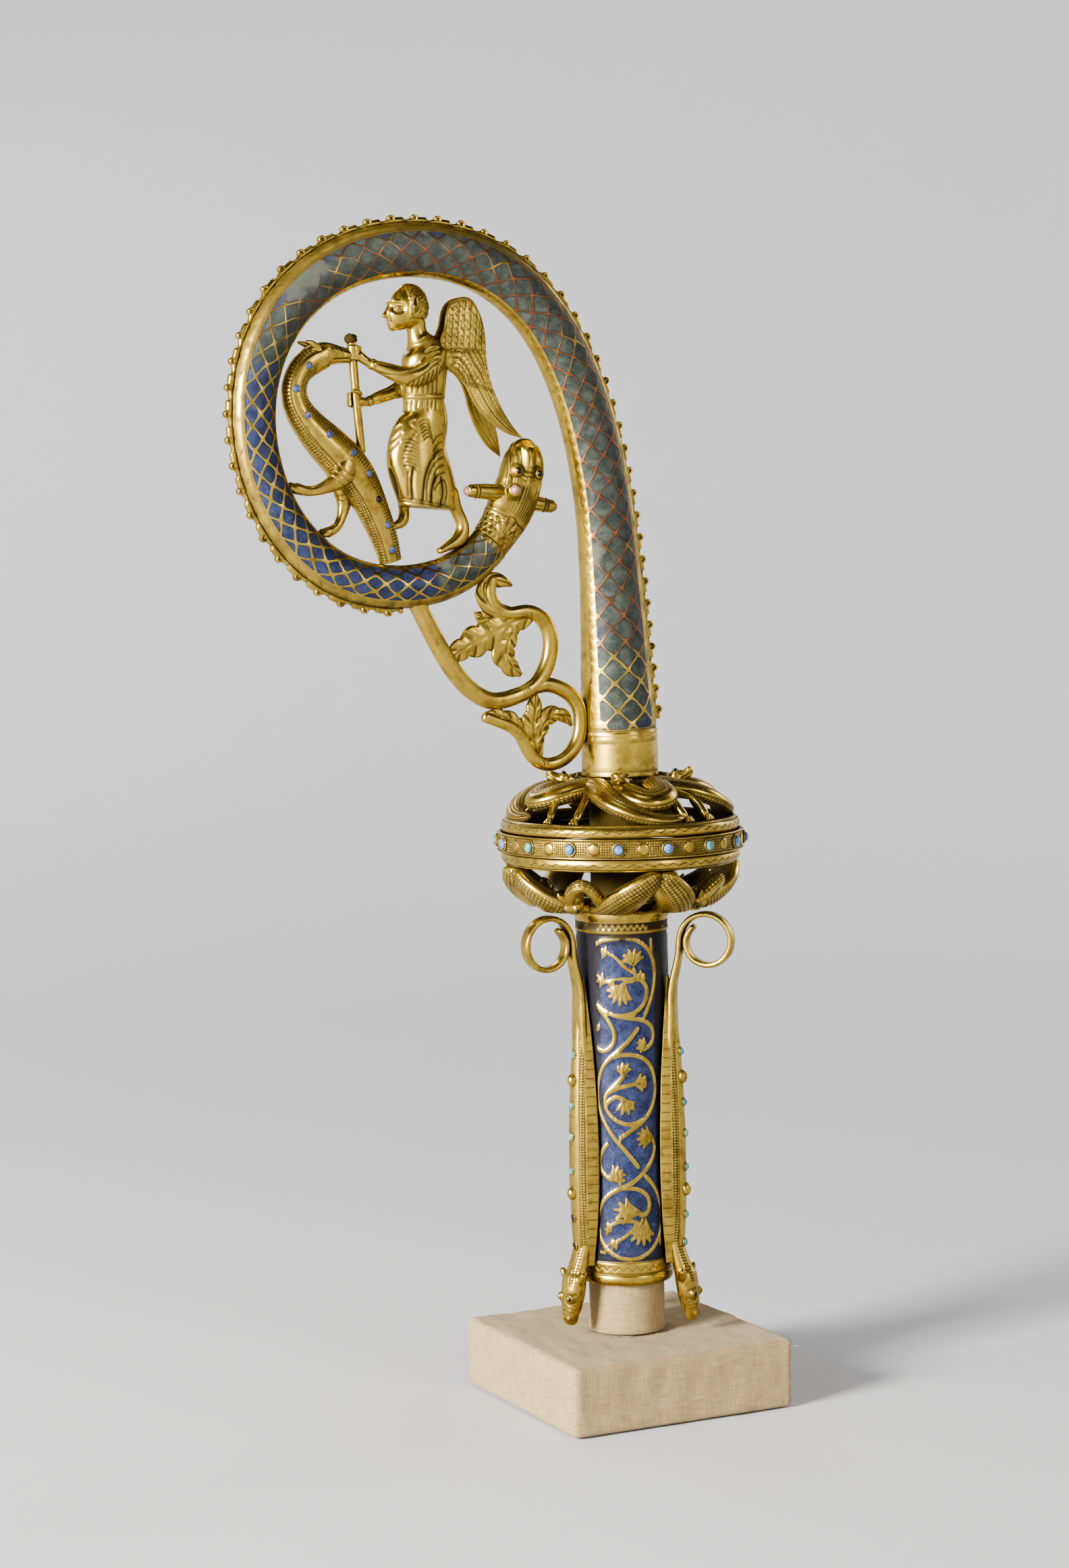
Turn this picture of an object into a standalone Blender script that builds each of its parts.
"""A medieval crosier head on its stand: an enamelled crook that ends in a serpent's head, an angel spearing a
dragon inside the curl, a vine bracket, a pierced knop, and a socket with three lizards. Metres, +Z up, with the
origin under the middle of the block. The curl lies in the XZ plane, towards -X, and its front faces -Y."""

import math

import bmesh
import bpy
import numpy as np
from mathutils import Vector

# Clearances
GAP = 0.0003
BORE_CLEARANCE = 0.0006
FERRULE_CLEARANCE = 0.0010

# Stand
BLOCK_SIDE = 0.073
BLOCK_HEIGHT = 0.0212
BLOCK_EDGE = 0.0012
PEG_RADIUS = 0.0115

# Socket
SOCKET_LIFT = 0.0155
SOCKET_LENGTH = 0.1113
SOCKET_WALL = 0.0013
SHOULDER_WALL = 0.0016
RIM_PROUD = 0.0008
MOULDING_STEP = 0.0005
BAND_PROUD = 0.0004
RIM_HEIGHT = 0.003
ZIGZAG_HEIGHT = 0.0036
TOP_BAND_HEIGHT = 0.0036
NECK_WALL = 0.0014
NECK_LAP = 0.010

# Lizards on the socket
LIZARD_BEARINGS = (187.0, 313.0, 70.0)
LIZARD_HEIGHT = 0.0050
LIZARD_HALF_ANGLE = 24.0
TAIL_RADIUS = 0.0081
TAIL_STANDOFF = 0.0123
TAIL_HALF_WIDTH = 0.0021
TAIL_HALF_THICKNESS = 0.0007
EAR_REACH = 0.0053
LIZARD_BEAD_RADIUS = 0.0011
LIZARD_BOSS_RADIUS = 0.0017

# Knop
KNOP_DROP = 0.0202
KNOP_RISE = 0.0184
BAND_RADIUS = 0.037
BAND_HALF_HEIGHT = 0.0029
BAND_WALL = 0.0016
BAND_LIP = 0.0006
RING_INSET = 0.0015
RING_HEIGHT = 0.0038
RING_BULGE = 0.0004
DOME_RISE = 0.0146
DOME_DROP = 0.0186
DOME_TOP_RADIUS = 0.0133
DOME_FOOT_RADIUS = 0.0143
DOME_WALL = 0.0012
KNOP_DRAGON_RADIUS = 0.092 * BAND_RADIUS
KNOP_BEADS = 16
KNOP_BEAD_RADIUS = 0.0015
KNOP_BEAD_BEARING = 241.5
BEAD_PROUD = 0.0009
COLLAR_TEETH = 20
COLLAR_WALL = 0.0008
COLLAR_HEIGHT = 0.0036
COLLAR_FLARE = 0.0004

# Crook and the figures in it
CROOK_HEIGHT = 0.163
CROOK_WALL = 0.0015
CROOK_STEPS = 39
CROOK_SIDES = 14
FERRULE_RADIUS = 0.0114
FERRULE_OFFSET = 0.0003
CROOK_DEPTH_SHARE = 0.85
CREST_HALF_WIDTH = 0.0010
CROCKETS = 50
CROCKET_HEIGHT = 0.0016

# Levels
BLOCK_TOP = BLOCK_HEIGHT
SOCKET_RADIUS = PEG_RADIUS + BORE_CLEARANCE + SOCKET_WALL
SOCKET_FOOT = BLOCK_TOP + SOCKET_LIFT
SOCKET_TOP = SOCKET_FOOT + SOCKET_LENGTH
KNOP_CENTRE = SOCKET_TOP + KNOP_DROP
CROOK_FOOT = KNOP_CENTRE + KNOP_RISE
RING_RADIUS = BAND_RADIUS - RING_INSET

NECK_RADIUS = FERRULE_RADIUS - CROOK_WALL - FERRULE_CLEARANCE
COLLAR_INNER = FERRULE_RADIUS + FERRULE_OFFSET + 2.0 * GAP

# The crook's own proportions are in shares of its height, of which there are 163
UNIT = CROOK_HEIGHT / 163.0
SPEAR_RADIUS = 1.25 * UNIT
WING_THICKNESS = 1.1 * UNIT
WING_SPREAD = 1.6 * UNIT
WING_SPLAY = 3.8 * UNIT
VINE_RADIUS = 2.5 * UNIT
LEAF_HALF_THICKNESS = UNIT

# Centre line of the crook: x, height and radial half thickness in units, from the ferrule to the serpent's nose
CROOK_STATIONS = (
    (FERRULE_OFFSET / UNIT, 0.0, FERRULE_RADIUS / UNIT),
    (FERRULE_OFFSET / UNIT, 7.0, FERRULE_RADIUS / UNIT),
    (-0.5, 24.2, 10.6),
    (-1.2, 42.5, 9.9),
    (-2.2, 61.3, 9.2),
    (-4.0, 80.3, 8.7),
    (-7.6, 99.5, 8.4),
    (-14.1, 118.6, 8.1),
    (-24.8, 135.9, 7.9),
    (-41.5, 148.4, 7.8),
    (-62.7, 152.7, 7.7),
    (-84.1, 148.8, 7.4),
    (-101.8, 136.6, 7.0),
    (-111.8, 117.8, 6.6),
    (-112.7, 96.6, 6.4),
    (-105.4, 76.9, 6.3),
    (-90.3, 62.3, 6.2),
    (-69.5, 57.4, 6.1),
    (-49.5, 62.6, 6.1),
    (-38.6, 72.8, 6.4),
    (-33.8, 80.5, 7.2),
    (-31.2, 87.5, 6.8),
    (-29.9, 94.0, 5.8),
    (-29.2, 99.4, 3.2),
)
BORE_END = 0.80
CREST_START = 0.040
CREST_END = 0.838


def clear_scene():
    for obj in list(bpy.data.objects):
        bpy.data.objects.remove(obj, do_unlink=True)


def new_collection(name, hidden=False):
    collection = bpy.data.collections.new(name)
    bpy.context.scene.collection.children.link(collection)
    collection.hide_render = hidden
    return collection


def finish(name, colour, metallic, roughness):
    material = bpy.data.materials.new(name)
    material.use_nodes = True
    shader = material.node_tree.nodes["Principled BSDF"]
    shader.inputs["Base Color"].default_value = (*colour, 1.0)
    shader.inputs["Metallic"].default_value = metallic
    shader.inputs["Roughness"].default_value = roughness
    return material


def add_object(name, mesh, collection, material=None):
    obj = bpy.data.objects.new(name, mesh)
    collection.objects.link(obj)
    if material:
        mesh.materials.clear()
        mesh.materials.append(material)
    if collection is helpers:
        obj.hide_render = True
        obj.display_type = "WIRE"
    return obj


def baked(obj):
    """The mesh of an object with its modifiers applied."""
    graph = bpy.context.evaluated_depsgraph_get()
    graph.update()
    return bpy.data.meshes.new_from_object(obj.evaluated_get(graph))


def smooth_rows(rows, count):
    """A smooth line through rows of numbers, read at even steps along its length in the first three columns."""
    rows = np.array(rows, float)
    chord = np.linalg.norm(np.diff(rows[:, :3], axis=0), axis=1)
    at = np.concatenate([[0.0], np.cumsum(np.maximum(chord, 1e-9))])
    n = len(rows)
    step = np.diff(at)
    system = np.zeros((n, n))
    right = np.zeros((n, rows.shape[1]))
    system[0, 0] = 1.0
    system[-1, -1] = 1.0
    for i in range(1, n - 1):
        system[i, i - 1] = step[i - 1]
        system[i, i] = 2.0 * (step[i - 1] + step[i])
        system[i, i + 1] = step[i]
        right[i] = 6.0 * ((rows[i + 1] - rows[i]) / step[i] - (rows[i] - rows[i - 1]) / step[i - 1])
    bend = np.linalg.solve(system, right)

    def read(t):
        i = np.clip(np.searchsorted(at, t, side="right") - 1, 0, n - 2)
        h = step[i][:, None]
        a = ((at[i + 1] - t) / step[i])[:, None]
        b = 1.0 - a
        bow = ((a**3 - a) * bend[i] + (b**3 - b) * bend[i + 1]) * h * h / 6.0
        return a * rows[i] + b * rows[i + 1] + bow

    fine = np.linspace(0.0, at[-1], 40 * n)
    points = read(fine)
    length = np.concatenate([[0.0], np.cumsum(np.linalg.norm(np.diff(points[:, :3], axis=0), axis=1))])
    return read(np.interp(np.linspace(0.0, length[-1], count), length, fine))


def tangents(points):
    line = np.gradient(points, axis=0)
    return line / np.linalg.norm(line, axis=1)[:, None]


def loft(rings, closed_ends=True):
    """A mesh through rings of as many points each, with a face across each end."""
    shape = bmesh.new()
    rows = [[shape.verts.new(Vector(point)) for point in ring] for ring in rings]
    count = len(rows[0])
    for first, second in zip(rows, rows[1:]):
        for i in range(count):
            j = (i + 1) % count
            shape.faces.new((first[i], first[j], second[j], second[i]))
    if closed_ends:
        shape.faces.new(list(reversed(rows[0])))
        shape.faces.new(rows[-1])
    else:
        for i in range(count):
            j = (i + 1) % count
            shape.faces.new((rows[-1][i], rows[-1][j], rows[0][j], rows[0][i]))
    bmesh.ops.recalc_face_normals(shape, faces=shape.faces[:])
    mesh = bpy.data.meshes.new("loft")
    shape.to_mesh(mesh)
    shape.free()
    mesh.shade_smooth()
    return mesh


def limb(rows, count, sides, across=(0.0, 1.0, 0.0), grow=0.0):
    """A rounded limb through rows of x, y, z, half width in the plane and half depth, all in metres."""
    rows = smooth_rows(rows, count)
    middle = rows[:, :3]
    along = tangents(middle)
    depth = np.tile(np.array(across, float), (count, 1))
    depth -= (depth * along).sum(axis=1)[:, None] * along
    depth /= np.linalg.norm(depth, axis=1)[:, None]
    width = np.cross(depth, along)
    angles = 2.0 * math.pi * (np.arange(sides) + 0.5) / sides
    rings = []
    for i in range(count):
        wide = max(rows[i, 3], 0.0002) + grow
        deep = max(rows[i, 4], 0.0002) + grow
        ring = [middle[i] + width[i] * wide * math.cos(a) + depth[i] * deep * math.sin(a) for a in angles]
        rings.append(ring)
    if grow:
        rings[0] = [np.array(p) - along[0] * grow for p in rings[0]]
        rings[-1] = [np.array(p) + along[-1] * grow for p in rings[-1]]
    return loft(rings)


def ball(centre, radii, grow=0.0, segments=12, rows=8):
    shape = bmesh.new()
    bmesh.ops.create_uvsphere(shape, u_segments=segments, v_segments=rows, radius=1.0)
    for vertex in shape.verts:
        vertex.co = Vector(c * (r + grow) for c, r in zip(vertex.co, radii)) + Vector(centre)
    mesh = bpy.data.meshes.new("ball")
    shape.to_mesh(mesh)
    shape.free()
    mesh.shade_smooth()
    return mesh


def boolean(obj, operation, other):
    """A Boolean on the object with one helper object or with a collection of them, applied to its mesh."""
    modifier = obj.modifiers.new(operation.lower(), "BOOLEAN")
    modifier.operation = operation
    modifier.solver = "EXACT"
    if isinstance(other, bpy.types.Collection):
        modifier.operand_type = "COLLECTION"
        modifier.collection = other
    else:
        modifier.object = other
    mesh = baked(obj)
    obj.modifiers.clear()
    obj.data = mesh


def joined(name, meshes, collection, material=None):
    """One solid made from several overlapping closed meshes."""
    obj = add_object(name, meshes[0], collection, material)
    for number, mesh in enumerate(meshes[1:]):
        other = add_object(f"{name}_piece_{number:02d}", mesh, helpers)
        boolean(obj, "UNION", other)
        bpy.data.objects.remove(other, do_unlink=True)
    if material:
        obj.data.materials.clear()
        obj.data.materials.append(material)
    obj.data.shade_smooth()
    return obj


def turned(name, profile, steps, collection, material):
    """A turned piece: a closed profile of radius and height, from the top of its outer side down, then back up."""
    shape = bmesh.new()
    points = [shape.verts.new((radius, 0.0, height)) for radius, height in profile]
    for i in range(len(points)):
        shape.edges.new((points[i], points[(i + 1) % len(points)]))
    mesh = bpy.data.meshes.new(name)
    shape.to_mesh(mesh)
    shape.free()
    obj = add_object(name, mesh, collection, material)
    screw = obj.modifiers.new("turn", "SCREW")
    screw.axis = "Z"
    screw.angle = 2.0 * math.pi
    screw.steps = steps
    screw.render_steps = steps
    screw.use_merge_vertices = True
    screw.merge_threshold = 0.00005
    screw.use_smooth_shade = True
    return obj


def place(x, y, height):
    """A point of the crook's own space, in units, as a place in metres."""
    return (x * UNIT, y * UNIT, CROOK_FOOT + height * UNIT)


def figure_rows(rows):
    """Rows of x, y, height, half width and half depth in units, as rows in metres."""
    return [(*place(x, y, h), wide * UNIT, deep * UNIT) for x, y, h, wide, deep in rows]


def crook_line(count):
    """Middle, outward direction, radial and depth half thickness of the crook at even steps along it."""
    rows = []
    for x, h, half in CROOK_STATIONS:
        rows.append((*place(x, 0.0, h), half * UNIT))
    rows = smooth_rows(rows, count)
    middle = rows[:, :3]
    along = tangents(middle)
    along[0] = (0.0, 0.0, 1.0)
    out = np.stack([along[:, 2], np.zeros(count), -along[:, 0]], axis=1)
    rise = (middle[:, 2] - CROOK_FOOT) / UNIT
    share = np.linspace(0.0, 1.0, count)
    round_foot = np.where(share < 0.2, np.clip(1.0 - (rise - 14.0) / 45.0, 0.0, 1.0), 0.0)
    depth_share = CROOK_DEPTH_SHARE + (1.0 - CROOK_DEPTH_SHARE) * round_foot
    half = rows[:, 3]
    foot = share < 0.02
    half = np.where(foot, FERRULE_RADIUS, half)
    return middle, out, half, half * depth_share


def crook_rings(count, sides, grow, last=1.0):
    middle, out, wide, deep = crook_line(count)
    kept = int(round((count - 1) * last)) + 1
    rings = []
    for i in range(kept):
        ring = []
        for k in range(sides):
            angle = 2.0 * math.pi * k / sides
            step = out[i] * (wide[i] + grow) * math.cos(angle)
            ring.append(middle[i] + step + np.array((0.0, 1.0, 0.0)) * (deep[i] + grow) * math.sin(angle))
        rings.append(ring)
    return rings


def crook_cutter():
    """The crook's outer shape, grown by the gap, for the pieces that touch it."""
    rings = crook_rings(CROOK_STEPS, CROOK_SIDES, GAP)
    rings[0] = [point - np.array((0.0, 0.0, GAP)) for point in rings[0]]
    return add_object("crook_cutter", loft(rings), helpers)


def serpent_extras():
    """Three blunt horns, the brows and the eyes of the serpent's head."""
    left_rows = [(-35.0, -1.5, 83.6, 2.1, 2.1), (-46.8, -2.4, 84.4, 2.0, 2.0), (-50.0, -2.6, 84.5, 1.1, 1.1)]
    right_rows = [(-31.0, -1.0, 81.4, 2.0, 2.0), (-23.0, -1.0, 80.0, 1.9, 1.9), (-20.6, -1.0, 79.6, 1.0, 1.0)]
    front_rows = [(-35.6, -2.0, 83.6, 2.3, 2.3), (-36.8, -8.2, 84.4, 2.0, 2.0), (-37.2, -10.0, 84.6, 1.0, 1.0)]
    left = limb(figure_rows(left_rows), 5, 7)
    right = limb(figure_rows(right_rows), 5, 7)
    front = limb(figure_rows(front_rows), 5, 7, across=(1.0, 0.0, 0.0))
    brow_left = ball(place(-34.3, -3.3, 90.0), [1.9 * UNIT, 1.9 * UNIT, 2.3 * UNIT], segments=8, rows=6)
    brow_right = ball(place(-27.4, -3.0, 89.2), [1.8 * UNIT, 1.9 * UNIT, 2.2 * UNIT], segments=8, rows=6)
    return [left, right, front, brow_left, brow_right]


def build_crook(collection, material):
    outer = crook_rings(CROOK_STEPS, CROOK_SIDES, 0.0)
    inner = crook_rings(CROOK_STEPS, CROOK_SIDES, -CROOK_WALL, BORE_END)
    shape = bmesh.new()
    rows = [[shape.verts.new(Vector(p)) for p in ring] for ring in list(reversed(outer)) + inner[:1] + inner[2::2]]
    for first, second in zip(rows, rows[1:]):
        for i in range(len(first)):
            j = (i + 1) % len(first)
            shape.faces.new((first[i], first[j], second[j], second[i]))
    shape.faces.new(list(reversed(rows[0])))
    shape.faces.new(rows[-1])
    bmesh.ops.recalc_face_normals(shape, faces=shape.faces[:])
    mesh = bpy.data.meshes.new("crook")
    shape.to_mesh(mesh)
    shape.free()
    return joined("crook", [mesh] + serpent_extras(), collection, material)


def crest_reach(share):
    """How far the crest's top lies from the crook's skin, which falls from the foot of the shaft to the curl."""
    return (0.6 + 1.3 * max(0.0, 1.0 - (share - CREST_START) / 0.2)) * UNIT


def build_crest(collection, material):
    steps = 3 * CROCKETS
    middle, out, wide, _ = crook_line(2401)
    rings = []
    for i in range(steps + 1):
        share = CREST_START + (CREST_END - CREST_START) * i / steps
        at = int(round(share * 2400))
        bump = 1.0 if i % 3 == 1 else 0.0
        width = CREST_HALF_WIDTH * (1.0 + 0.6 * bump)
        low = wide[at] + GAP
        high = wide[at] + crest_reach(share) + CROCKET_HEIGHT * bump
        ring = []
        for radial, across in ((low, -width), (high, -width), (high, width), (low, width)):
            ring.append(middle[at] + out[at] * radial + np.array((0.0, across, 0.0)))
        rings.append(ring)
    return add_object("crook_crest", loft(rings), collection, material)


def angel_meshes(grow=0.0):
    body = limb(
        figure_rows(
            [
                (-60.6, 0.0, 79.4, 8.8, 5.8),
                (-60.6, 0.0, 82.6, 9.1, 5.8),
                (-62.2, 0.0, 88.4, 9.6, 5.7),
                (-63.6, 0.0, 94.0, 9.4, 5.5),
                (-63.0, 0.0, 99.5, 8.4, 5.3),
                (-61.0, 0.0, 106.0, 6.9, 5.0),
                (-61.4, 0.0, 110.8, 6.1, 4.7),
                (-61.0, 0.0, 117.0, 6.7, 5.6),
                (-60.8, 0.0, 122.5, 6.6, 6.0),
                (-61.6, 0.0, 126.0, 5.2, 5.0),
                (-62.8, 0.0, 129.0, 3.0, 3.0),
                (-63.2, 0.0, 132.0, 2.9, 2.9),
            ]
        ),
        15,
        10,
        grow=grow,
    )
    head = ball(place(-65.4, 0.0, 136.6), [5.9 * UNIT, 5.0 * UNIT, 6.6 * UNIT], grow, 8, 7)
    face = ball(place(-68.6, 0.0, 134.4), [4.3 * UNIT, 3.9 * UNIT, 4.8 * UNIT], grow, 8, 6)
    near_arm = limb(
        figure_rows(
            [
                (-58.8, -4.2, 123.4, 3.0, 2.6),
                (-61.5, -5.6, 119.0, 3.1, 2.7),
                (-67.6, -5.6, 116.6, 3.0, 2.6),
                (-73.5, -4.2, 118.4, 2.3, 2.1),
                (-79.0, -1.8, 120.9, 1.7, 1.7),
                (-83.4, -0.4, 123.6, 2.4, 2.3),
            ]
        ),
        8,
        7,
        grow=grow,
    )
    far_arm = limb(
        figure_rows(
            [
                (-62.0, 3.2, 117.0, 2.6, 2.4),
                (-67.0, 3.4, 113.8, 2.5, 2.3),
                (-73.0, 2.0, 111.6, 2.0, 1.9),
                (-78.2, 0.5, 109.8, 1.7, 1.7),
                (-83.0, 0.0, 110.2, 2.5, 2.3),
            ]
        ),
        8,
        7,
        grow=grow,
    )
    far_leg = limb(
        figure_rows(
            [
                (-67.4, 2.0, 82.5, 2.0, 2.0),
                (-67.4, 1.8, 78.0, 1.7, 1.7),
                (-68.2, 1.2, 75.9, 1.8, 1.7),
                (-71.6, 0.2, 74.8, 1.2, 1.5),
            ]
        ),
        6,
        7,
        grow=grow,
    )
    near_leg = limb(
        figure_rows(
            [
                (-53.4, -1.6, 82.0, 2.3, 2.2),
                (-51.4, -1.6, 77.0, 1.9, 1.9),
                (-50.2, -1.6, 73.4, 2.3, 2.0),
                (-52.2, -1.6, 70.4, 2.1, 2.1),
                (-56.0, -1.6, 68.2, 1.6, 1.9),
            ]
        ),
        8,
        7,
        grow=grow,
    )
    thick = SPEAR_RADIUS / UNIT
    spear_line = ((-83.0, 127.3), (-81.8, 108.0), (-80.8, 96.2))
    spear = limb(figure_rows([(x, 0.0, h, thick, thick) for x, h in spear_line]), 5, 7, grow=grow)
    return [body, head, face, near_arm, far_arm, far_leg, near_leg, spear]


def dragon_meshes():
    body = limb(
        figure_rows(
            [
                (-71.6, 0.0, 62.0, 3.2, 2.6),
                (-74.2, 0.0, 71.0, 4.0, 3.2),
                (-78.0, 0.0, 80.2, 4.9, 3.9),
                (-83.6, 0.0, 89.8, 6.2, 4.8),
                (-90.8, 0.0, 97.4, 6.0, 4.8),
                (-97.2, 0.0, 104.0, 4.7, 4.2),
                (-100.8, 0.0, 111.0, 3.7, 3.5),
                (-99.8, 0.0, 117.0, 3.6, 3.2),
                (-95.0, 0.0, 121.0, 4.1, 3.4),
                (-89.6, 0.0, 122.6, 3.8, 3.2),
                (-85.0, 0.0, 123.0, 1.9, 2.2),
            ]
        ),
        22,
        9,
    )
    front_leg = limb(
        figure_rows(
            [
                (-86.0, -2.6, 91.4, 3.6, 2.6),
                (-90.0, -3.6, 87.4, 2.4, 2.0),
                (-97.0, -2.4, 84.9, 1.6, 1.5),
                (-101.6, -1.0, 85.6, 2.0, 1.8),
                (-103.6, -0.4, 86.4, 1.2, 1.4),
            ]
        ),
        8,
        7,
    )
    back_leg = limb(
        figure_rows(
            [
                (-87.6, 1.6, 88.0, 3.0, 2.4),
                (-85.6, 1.6, 81.0, 1.9, 1.7),
                (-87.8, 1.0, 75.4, 1.6, 1.5),
                (-91.2, 0.4, 73.0, 1.9, 1.8),
                (-93.4, 0.0, 73.0, 1.2, 1.4),
            ]
        ),
        8,
        7,
    )
    return [body, front_leg, back_leg]


# Outlines of the wing plates in x and height: the edge both share, then each one's tip and its under edge
WING_TOP_EDGE = (
    (-57.6, 124.4),
    (-56.8, 127.6),
    (-55.4, 131.0),
    (-54.6, 135.1),
    (-52.8, 138.2),
    (-50.4, 139.4),
    (-47.0, 139.3),
    (-44.6, 136.4),
    (-43.2, 131.9),
    (-42.8, 126.1),
    (-42.7, 120.4),
    (-41.3, 113.7),
    (-38.8, 107.9),
)
NEAR_TIP = ((-35.9, 103.1), (-32.7, 99.4))
NEAR_UNDER = ((-36.2, 100.2), (-43.6, 104.6), (-47.2, 108.5), (-49.8, 113.6), (-54.0, 118.5), (-57.0, 120.2))
FAR_TIP = ((-36.5, 103.1), (-34.7, 94.3))
FAR_UNDER = ((-39.0, 97.3), (-42.3, 101.5), (-45.2, 107.7), (-46.9, 113.1), (-50.0, 117.8), (-57.0, 120.2))


def wing_mesh(side, tip, under):
    """A wing plate, leaning outwards from its shoulder to its tip. Its outline runs from the root round the tip."""
    line = smooth_rows([(x, 0.0, h) for x, h in WING_TOP_EDGE + tip], 20)
    back = smooth_rows([(x, 0.0, h) for x, h in tip[-1:] + under], 10)
    outline = list(line) + list(back[1:])
    top = max(point[2] for point in outline)
    foot = min(point[2] for point in outline)
    half = 0.5 * WING_THICKNESS
    sides = []
    for offset in (-half, half):
        ring = []
        for x, _, h in outline:
            at = Vector(place(x, 0.0, h))
            at.y = side * (WING_SPREAD + WING_SPLAY * (top - h) / (top - foot)) + offset
            ring.append(at)
        sides.append(ring)
    return loft(sides)


def leaf_mesh(spine, half_width, lobes, count=10):
    """A flat leaf along a spine of x and height, with lobes down both edges."""
    rows = smooth_rows([place(x, 0.0, h) for x, h in spine], count)
    along = tangents(rows)
    rings = []
    for i in range(count):
        share = i / (count - 1)
        swell = math.sin(math.pi * min(1.0, 0.12 + 0.86 * share)) ** 0.7
        lobe = 0.80 + 0.20 * math.cos(2.0 * math.pi * lobes * share)
        half = half_width * UNIT * swell * lobe
        thick = LEAF_HALF_THICKNESS * (0.75 + 0.25 * swell)
        side = np.array((along[i][2], 0.0, -along[i][0]))
        ring = []
        for across, depth in ((-1.0, 0.0), (-0.5, -1.0), (0.5, -1.0), (1.0, 0.0), (0.5, 1.0), (-0.5, 1.0)):
            ring.append(rows[i] + side * half * across + np.array((0.0, depth * thick, 0.0)))
        rings.append(ring)
    return loft(rings)


def stem_mesh(points, thick, end, count):
    rows = []
    for number, (x, h) in enumerate(points):
        share = number / (len(points) - 1)
        half = (thick + (end - thick) * share) * VINE_RADIUS
        rows.append((*place(x, 0.0, h), half, half))
    return limb(rows, count, 6)


def vine_meshes():
    main = [(-64.6, 52.4), (-57.5, 39.4), (-50.0, 29.0), (-41.3, 23.9), (-34.3, 24.7), (-27.4, 28.0), (-23.1, 34.3)]
    main += [(-22.2, 42.0), (-25.2, 47.6), (-29.9, 49.4), (-34.9, 49.0), (-39.2, 50.8), (-41.2, 55.4), (-39.6, 61.0)]
    lower = [(-29.5, 26.6), (-24.2, 27.9), (-19.2, 26.7), (-15.2, 23.9), (-13.1, 20.5), (-12.6, 16.9), (-13.3, 12.0)]
    lower += [(-15.8, 8.0), (-19.5, 5.4), (-23.7, 4.6), (-27.6, 6.2), (-30.4, 9.8), (-32.4, 13.4), (-35.4, 16.0)]
    lower += [(-39.6, 17.8), (-42.6, 19.4)]
    return [
        stem_mesh(main, 1.0, 0.68, 24),
        stem_mesh(lower, 0.8, 0.72, 22),
        leaf_mesh([(-29.5, 48.6), (-37.4, 45.0), (-45.0, 41.3), (-55.5, 34.6)], 5.0, 4.0),
        leaf_mesh([(-31.5, 47.4), (-37.2, 41.0), (-36.8, 34.6), (-30.0, 28.8)], 3.4, 3.0),
        leaf_mesh([(-26.0, 5.4), (-27.2, 13.0), (-27.2, 19.4), (-26.6, 27.6)], 3.8, 3.0),
        leaf_mesh([(-27.6, 13.0), (-23.6, 18.4), (-18.6, 19.8), (-13.4, 18.0)], 2.6, 3.0),
        leaf_mesh([(-39.9, 52.2), (-42.0, 57.2), (-38.0, 58.6), (-33.6, 57.0)], 2.6, 1.0),
    ]


def dome_point(bearing, share, lift, upper):
    """A point on the knop's upper or lower dome, lifted off it: share 0 at the girdle's ring, 1 at the small ring."""
    angle = share * math.pi / 2.0
    small = DOME_TOP_RADIUS if upper else DOME_FOOT_RADIUS
    reach = (DOME_RISE if upper else DOME_DROP) - BAND_HALF_HEIGHT - RING_HEIGHT
    wide = RING_RADIUS - (4.2 if upper else 3.4) * DOME_WALL - small
    level = BAND_HALF_HEIGHT + RING_HEIGHT + reach * math.sin(angle)
    radius = small + wide * math.cos(angle)
    tilt = Vector((reach * math.cos(angle), wide * math.sin(angle))).normalized()
    radius += lift * tilt.x
    level += lift * tilt.y
    around = math.radians(bearing)
    height = KNOP_CENTRE + (level if upper else -level)
    return Vector((radius * math.cos(around), radius * math.sin(around), height))


def knop_dragon(rows, turn, upper, count, sides):
    """A dragon's body along the dome: rows of bearing, share of the dome, and thickness as a share."""
    points = []
    for bearing, share, thick in rows:
        half = KNOP_DRAGON_RADIUS * thick
        at = dome_point(bearing + turn, share, 0.35 * half, upper)
        points.append((*at, half, 0.8 * half))
    rows = smooth_rows(points, count)
    middle = rows[:, :3]
    along = tangents(middle)
    rings = []
    for i in range(count):
        outward = Vector((middle[i][0], middle[i][1], 0.0)).normalized()
        rise = 1.0 if upper else -1.0
        normal = np.array((outward.x * 0.55, outward.y * 0.55, rise))
        normal -= normal.dot(along[i]) * along[i]
        normal /= np.linalg.norm(normal)
        side = np.cross(normal, along[i])
        ring = []
        for k in range(sides):
            angle = 2.0 * math.pi * (k + 0.5) / sides
            ring.append(middle[i] + side * rows[i, 3] * math.cos(angle) + normal * rows[i, 4] * math.sin(angle))
        rings.append(ring)
    return loft(rings)


def cylinder_cutter(name, radius, low, high):
    shape = bmesh.new()
    bmesh.ops.create_cone(shape, cap_ends=True, segments=32, radius1=radius, radius2=radius, depth=high - low)
    bmesh.ops.translate(shape, verts=shape.verts[:], vec=(0.0, 0.0, 0.5 * (low + high)))
    mesh = bpy.data.meshes.new(name)
    shape.to_mesh(mesh)
    shape.free()
    return add_object(name, mesh, helpers)


def knop_ring(name, radius_out, radius_in, low, high, steps=24):
    """A ring of rounded section as a closed mesh."""
    mid = 0.5 * (low + high)
    edge = radius_out - RING_BULGE
    profile = [(edge, high), (radius_out, mid), (edge, low), (radius_in, low), (radius_in, high)]
    obj = turned(name, profile, steps, helpers, None)
    mesh = baked(obj)
    bpy.data.objects.remove(obj, do_unlink=True)
    return mesh


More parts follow.
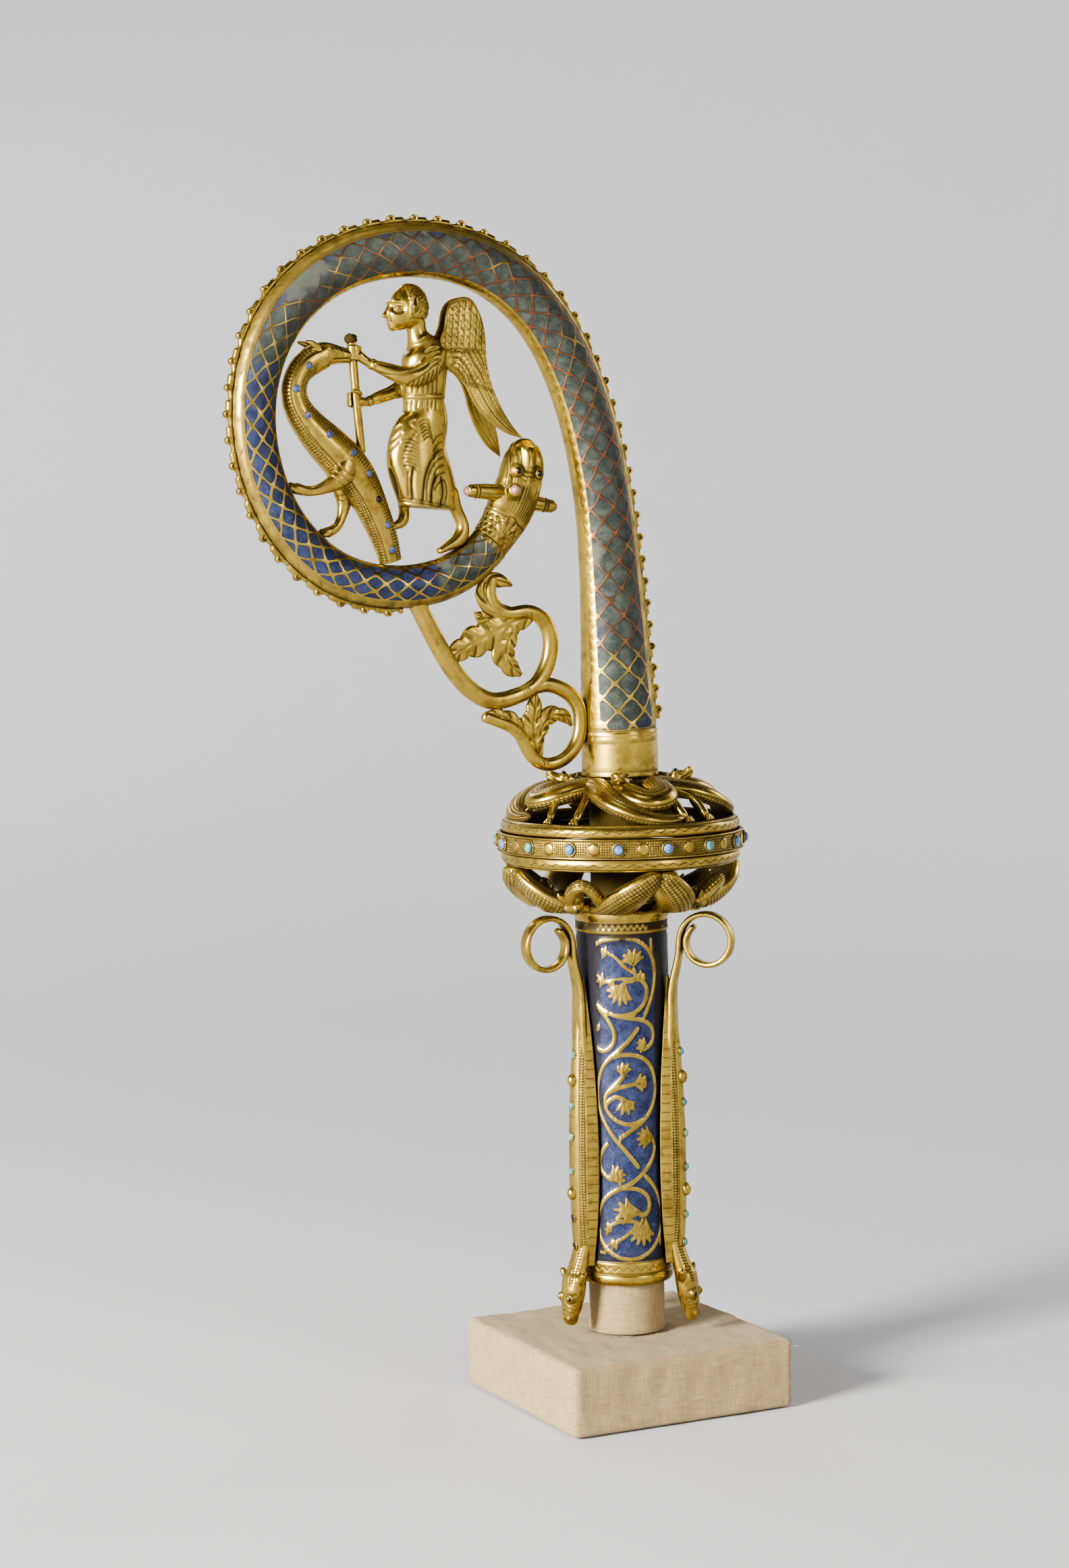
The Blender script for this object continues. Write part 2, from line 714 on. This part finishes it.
UPPER_BODY = (
    (0.0, 0.97, 0.85),
    (7.0, 0.66, 1.0),
    (18.0, 0.46, 1.0),
    (31.0, 0.60, 1.05),
    (45.0, 0.92, 1.1),
    (60.0, 0.80, 1.0),
    (76.0, 0.42, 0.9),
    (92.0, 0.14, 0.75),
    (106.0, 0.06, 0.55),
    (116.0, 0.10, 0.4),
)
UPPER_LEGS = (
    ((38.0, 0.82, 0.5), (36.0, 0.42, 0.4), (37.0, 0.02, 0.5)),
    ((53.0, 0.82, 0.5), (56.0, 0.44, 0.4), (57.0, 0.02, 0.5)),
)
LOWER_BODY = (
    (0.0, 0.06, 0.9),
    (10.0, 0.32, 1.1),
    (24.0, 0.70, 1.2),
    (42.0, 0.92, 1.1),
    (58.0, 0.72, 1.1),
    (72.0, 0.36, 1.1),
    (88.0, 0.06, 0.9),
)
LOWER_NECK = (
    (42.0, 0.92, 0.7),
    (52.0, 0.40, 0.6),
    (46.0, 0.22, 0.7),
    (38.0, 0.40, 1.0),
    (36.0, 0.62, 0.7),
)
# Bearings where the dragons start. They were set by hand, so they aren't quite even
UPPER_STARTS = (-197.0, -117.0, -24.0, 68.0)
LOWER_STARTS = (-184.0, -99.0, -6.0, 86.0)


def build_knop(collection, gilt):
    ring_low = BAND_HALF_HEIGHT + GAP
    ring_high = BAND_HALF_HEIGHT + RING_HEIGHT
    for upper in (True, False):
        small = DOME_TOP_RADIUS if upper else DOME_FOOT_RADIUS
        reach = DOME_RISE if upper else DOME_DROP
        sign = 1.0 if upper else -1.0
        edges = sorted((KNOP_CENTRE + sign * ring_low, KNOP_CENTRE + sign * ring_high))
        inner = sorted((KNOP_CENTRE + sign * (reach - 2.0 * DOME_WALL), KNOP_CENTRE + sign * reach))
        meshes = [
            knop_ring("knop_ring", RING_RADIUS, RING_RADIUS - 2.6 * DOME_WALL, edges[0], edges[1]),
            knop_ring("knop_mouth", small + DOME_WALL, small - DOME_WALL, inner[0], inner[1], 18),
        ]
        for start in UPPER_STARTS if upper else LOWER_STARTS:
            if upper:
                meshes.append(knop_dragon(UPPER_BODY, start, True, 11, 6))
                for leg in UPPER_LEGS:
                    meshes.append(knop_dragon(leg, start, True, 3, 5))
            else:
                meshes.append(knop_dragon(LOWER_BODY, start, False, 10, 6))
                meshes.append(knop_dragon(LOWER_NECK, start, False, 6, 5))
        shell = joined("knop_upper" if upper else "knop_lower", meshes, collection, gilt)
        if upper:
            low = KNOP_CENTRE + DOME_RISE
            cutter = cylinder_cutter("collar_space", COLLAR_INNER + 2.0 * COLLAR_WALL + GAP, low, low + KNOP_DROP)
        else:
            high = SOCKET_TOP + GAP
            cutter = cylinder_cutter("socket_space", BAND_RADIUS, high - KNOP_DROP, high)
        boolean(shell, "DIFFERENCE", cutter)
    top = KNOP_CENTRE + BAND_HALF_HEIGHT
    foot = KNOP_CENTRE - BAND_HALF_HEIGHT
    lip = BAND_LIP
    inside = RING_RADIUS - BAND_WALL
    profile = [
        (BAND_RADIUS - lip, top),
        (BAND_RADIUS, top - lip),
        (BAND_RADIUS, foot + lip),
        (BAND_RADIUS - lip, foot),
        (inside, foot),
        (inside, top),
    ]
    turned("knop_band", profile, 36, collection, gilt)


def dome_mesh(centre, outward, radius, height, sides=6):
    """A small domed bead with a flat back."""
    axis = Vector(outward).normalized()
    turn = axis.to_track_quat("Z", "Y").to_matrix()
    rings = []
    for share, rise in ((1.0, 0.0), (0.88, 0.55), (0.4, 1.0)):
        ring = []
        for k in range(sides):
            angle = 2.0 * math.pi * k / sides
            flat = Vector((radius * share * math.cos(angle), radius * share * math.sin(angle), height * rise))
            ring.append(Vector(centre) + turn @ flat)
        rings.append(ring)
    return loft(rings)


def build_knop_beads(collection, glass):
    for number in range(KNOP_BEADS):
        angle = math.radians(KNOP_BEAD_BEARING + 360.0 * number / KNOP_BEADS)
        outward = Vector((math.cos(angle), math.sin(angle), 0.0))
        centre = outward * (BAND_RADIUS + GAP) + Vector((0.0, 0.0, KNOP_CENTRE))
        mesh = dome_mesh(centre, outward, KNOP_BEAD_RADIUS, BEAD_PROUD)
        add_object(f"knop_bead_{number + 1:02d}", mesh, collection, glass)


def build_collar(collection, gilt):
    """A ring round the foot of the ferrule whose upper edge is cut into small teeth."""
    inner = COLLAR_INNER
    low = KNOP_CENTRE + DOME_RISE + GAP
    rings = []
    steps = 2 * COLLAR_TEETH
    for k in range(steps):
        angle = 2.0 * math.pi * k / steps
        outward = np.array((math.cos(angle), math.sin(angle), 0.0))
        high = low + COLLAR_HEIGHT * (1.0 if k % 2 else 0.62)
        flare = inner + COLLAR_WALL
        ring = []
        for radius, level in ((inner, low), (flare, low), (flare + COLLAR_FLARE, high), (inner + COLLAR_FLARE, high)):
            ring.append(outward * radius + np.array((0.0, 0.0, level)))
        rings.append(ring)
    return add_object("knop_collar", loft(rings, closed_ends=False), collection, gilt)


def build_socket(collection, material):
    body = SOCKET_RADIUS
    bore = PEG_RADIUS + BORE_CLEARANCE
    foot = SOCKET_FOOT
    top = SOCKET_TOP
    neck_top = CROOK_FOOT + NECK_LAP
    rim = body + RIM_PROUD
    band = body + BAND_PROUD
    zigzag_top = foot + RIM_HEIGHT + ZIGZAG_HEIGHT
    upper_low = top - 2.0 * TOP_BAND_HEIGHT
    profile = [
        (NECK_RADIUS, neck_top),
        (NECK_RADIUS, top),
        (rim - MOULDING_STEP, top),
        (rim, top - 0.5 * TOP_BAND_HEIGHT),
        (rim - MOULDING_STEP, top - TOP_BAND_HEIGHT),
        (band, top - TOP_BAND_HEIGHT - MOULDING_STEP),
        (band, upper_low),
        (body, upper_low - MOULDING_STEP),
        (body, zigzag_top + MOULDING_STEP),
        (band, zigzag_top),
        (band, foot + RIM_HEIGHT + MOULDING_STEP),
        (rim - MOULDING_STEP, foot + RIM_HEIGHT),
        (rim, foot + 0.5 * RIM_HEIGHT),
        (rim - MOULDING_STEP, foot),
        (bore, foot),
        (bore, top - SHOULDER_WALL),
        (NECK_RADIUS - NECK_WALL, top - SHOULDER_WALL),
        (NECK_RADIUS - NECK_WALL, neck_top),
    ]
    return turned("socket", profile, 24, collection, material)


# Lizard's body: share of the way from the neck, at the bottom, to the tail, and width and height as shares
LIZARD_BODY = (
    (0.0, 0.62, 0.80),
    (0.10, 0.84, 0.93),
    (0.26, 1.0, 1.0),
    (0.43, 1.0, 1.0),
    (0.60, 0.90, 0.90),
    (0.76, 0.72, 0.74),
    (0.88, 0.54, 0.58),
    (1.0, 0.44, 0.44),
)
LIZARD_SECTION = ((-1.0, 0.0), (-0.86, 0.22), (-0.5, 0.8), (0.0, 1.0), (0.5, 0.8), (0.86, 0.22), (1.0, 0.0), (0.0, 0.0))
# Places along the back of the beads and the gilt bosses. The first lizard has lost its two lowest beads
LIZARD_BEADS = (0.73, 0.55, 0.44, 0.32, 0.15, 0.05)
LIZARD_BOSSES = (0.64, 0.24)
LIZARD_NECK_RISE = 0.0072
LIZARD_BODY_LENGTH = 0.084


def lizard_profile(share):
    """Half angle in degrees and height off the socket of the lizard's back, at a share of its length."""
    widths = np.interp(share, [row[0] for row in LIZARD_BODY], [row[1] for row in LIZARD_BODY])
    heights = np.interp(share, [row[0] for row in LIZARD_BODY], [row[2] for row in LIZARD_BODY])
    return LIZARD_HALF_ANGLE * float(widths), LIZARD_HEIGHT * float(heights)


def lizard_point(bearing, radius, height):
    angle = math.radians(bearing)
    return np.array((radius * math.cos(angle), radius * math.sin(angle), height))


def build_lizard(name, bearing, collection, gilt):
    base = SOCKET_RADIUS + BAND_PROUD + GAP
    start = SOCKET_FOOT + LIZARD_NECK_RISE
    rings = []
    count = 10
    for i in range(count):
        share = i / (count - 1)
        half, high = lizard_profile(share)
        level = start + LIZARD_BODY_LENGTH * share
        ring = []
        for across, rise in LIZARD_SECTION:
            ring.append(lizard_point(bearing + half * across, base + high * rise, level))
        rings.append(ring)
    body = loft(rings)
    outward = lizard_point(bearing, 1.0, 0.0)
    sideways = np.array((-outward[1], outward[0], 0.0))
    head_rows = []
    for radial, rise, wide, deep in (
        (0.0015, 0.0122, 0.0034, 0.0018),
        (0.0031, 0.0056, 0.0037, 0.0024),
        (0.0051, 0.0004, 0.0044, 0.0033),
        (0.0059, -0.0046, 0.0040, 0.0032),
        (0.0063, -0.0086, 0.0029, 0.0025),
        (0.0064, -0.0112, 0.0016, 0.0014),
    ):
        at = outward * (base + radial) + np.array((0.0, 0.0, SOCKET_FOOT + rise))
        head_rows.append((*at, wide, deep))
    head = limb(head_rows, 6, 7, across=outward)
    ears = []
    for side in (-1.0, 1.0):
        ear_rows = []
        for reach, rise, thick in ((0.0020, 0.0006, 0.0016), (0.0050, 0.0030, 0.0013), (0.0058, 0.0040, 0.0006)):
            at = outward * (base + EAR_REACH) + sideways * side * reach + np.array((0.0, 0.0, SOCKET_FOOT + rise))
            ear_rows.append((*at, thick, thick))
        ears.append(limb(ear_rows, 3, 5, across=outward))
    high_end = start + LIZARD_BODY_LENGTH
    tail_reach = base + TAIL_STANDOFF
    centre_level = high_end + 1.28 * TAIL_RADIUS
    tail_rows = [
        (base + 0.0016, high_end - 0.14 * LIZARD_BODY_LENGTH),
        (base + 0.0017, high_end - 0.05 * LIZARD_BODY_LENGTH),
        (tail_reach - 1.04 * TAIL_RADIUS, centre_level - 0.4 * TAIL_RADIUS),
    ]
    for step in range(13):
        angle = math.radians(172.0 - 33.0 * step)
        radius = TAIL_RADIUS * (1.0 - 0.30 * (step / 12.0) ** 2)
        tail_rows.append((tail_reach + radius * math.cos(angle), centre_level + radius * math.sin(angle)))
    rows = []
    for radial, level in tail_rows:
        at = outward * radial
        rows.append((at[0], at[1], level, TAIL_HALF_THICKNESS, TAIL_HALF_WIDTH))
    tail = limb(rows, 21, 4, across=sideways)
    bosses = []
    for share in LIZARD_BOSSES:
        _, high = lizard_profile(share)
        at = lizard_point(bearing, base + high, start + LIZARD_BODY_LENGTH * share)
        bosses.append(ball(at, [LIZARD_BOSS_RADIUS] * 3, segments=6, rows=4))
    return joined(name, [body, head] + ears + [tail] + bosses, collection, gilt)


def build_lizards(collection, gilt, glass):
    base = SOCKET_RADIUS + BAND_PROUD + GAP
    for number, bearing in enumerate(LIZARD_BEARINGS, start=1):
        build_lizard(f"lizard_{number}", bearing, collection, gilt)
        left = LIZARD_BEADS[:4] if number == 1 else LIZARD_BEADS
        for bead, share in enumerate(left):
            _, high = lizard_profile(share)
            level = SOCKET_FOOT + LIZARD_NECK_RISE + LIZARD_BODY_LENGTH * share
            centre = lizard_point(bearing, base + high + GAP, level)
            outward = lizard_point(bearing, 1.0, 0.0)
            mesh = dome_mesh(centre, outward, LIZARD_BEAD_RADIUS, BEAD_PROUD, 5)
            add_object(f"lizard_{number}_bead_{bead + 1}", mesh, collection, glass)


def build_stand(collection, linen):
    shape = bmesh.new()
    bmesh.ops.create_cube(shape, size=1.0)
    for vertex in shape.verts:
        vertex.co.x *= BLOCK_SIDE
        vertex.co.y *= BLOCK_SIDE
        vertex.co.z = (vertex.co.z + 0.5) * BLOCK_HEIGHT
    mesh = bpy.data.meshes.new("stand_block")
    shape.to_mesh(mesh)
    shape.free()
    block = add_object("stand_block", mesh, collection, linen)
    bevel = block.modifiers.new("edges", "BEVEL")
    bevel.width = BLOCK_EDGE
    bevel.segments = 2
    low = BLOCK_TOP + GAP
    high = SOCKET_TOP - SHOULDER_WALL - GAP
    shape = bmesh.new()
    bmesh.ops.create_cone(
        shape, cap_ends=True, segments=32, radius1=PEG_RADIUS, radius2=PEG_RADIUS, depth=high - low
    )
    bmesh.ops.translate(shape, verts=shape.verts[:], vec=(0.0, 0.0, 0.5 * (low + high)))
    mesh = bpy.data.meshes.new("stand_peg")
    shape.to_mesh(mesh)
    shape.free()
    mesh.set_sharp_from_angle(angle=0.6)
    add_object("stand_peg", mesh, collection, linen)


def build_figures(collection, gilt):
    cutter = crook_cutter()
    angel = joined("angel", angel_meshes(), collection, gilt)
    boolean(angel, "DIFFERENCE", cutter)
    angel_cutter = joined("angel_cutter", angel_meshes(GAP), helpers)
    dragon = joined("dragon", dragon_meshes(), collection, gilt)
    boolean(dragon, "DIFFERENCE", cutter)
    boolean(dragon, "DIFFERENCE", angel_cutter)
    for name, side, tip, under in (
        ("wing_near", -1.0, NEAR_TIP, NEAR_UNDER),
        ("wing_far", 1.0, FAR_TIP, FAR_UNDER),
    ):
        wing = add_object(name, wing_mesh(side, tip, under), collection, gilt)
        boolean(wing, "DIFFERENCE", angel_cutter)
        boolean(wing, "DIFFERENCE", cutter)
    vine = joined("vine_scroll", vine_meshes(), collection, gilt)
    boolean(vine, "DIFFERENCE", cutter)


clear_scene()
parts = new_collection("crosier_head")
helpers = new_collection("cutters", hidden=True)
gilt_metal = finish("gilt_copper", (0.80, 0.58, 0.20), 1.0, 0.3)
enamel_metal = finish("enamelled_copper", (0.25, 0.30, 0.36), 0.2, 0.4)
bead_glass = finish("turquoise_glass", (0.15, 0.42, 0.45), 0.0, 0.25)
linen_cloth = finish("linen", (0.60, 0.52, 0.41), 0.0, 0.9)

build_stand(parts, linen_cloth)
build_socket(parts, enamel_metal)
build_lizards(parts, gilt_metal, bead_glass)
build_knop(parts, gilt_metal)
build_knop_beads(parts, bead_glass)
build_collar(parts, gilt_metal)
build_crook(parts, enamel_metal)
build_crest(parts, gilt_metal)
build_figures(parts, gilt_metal)
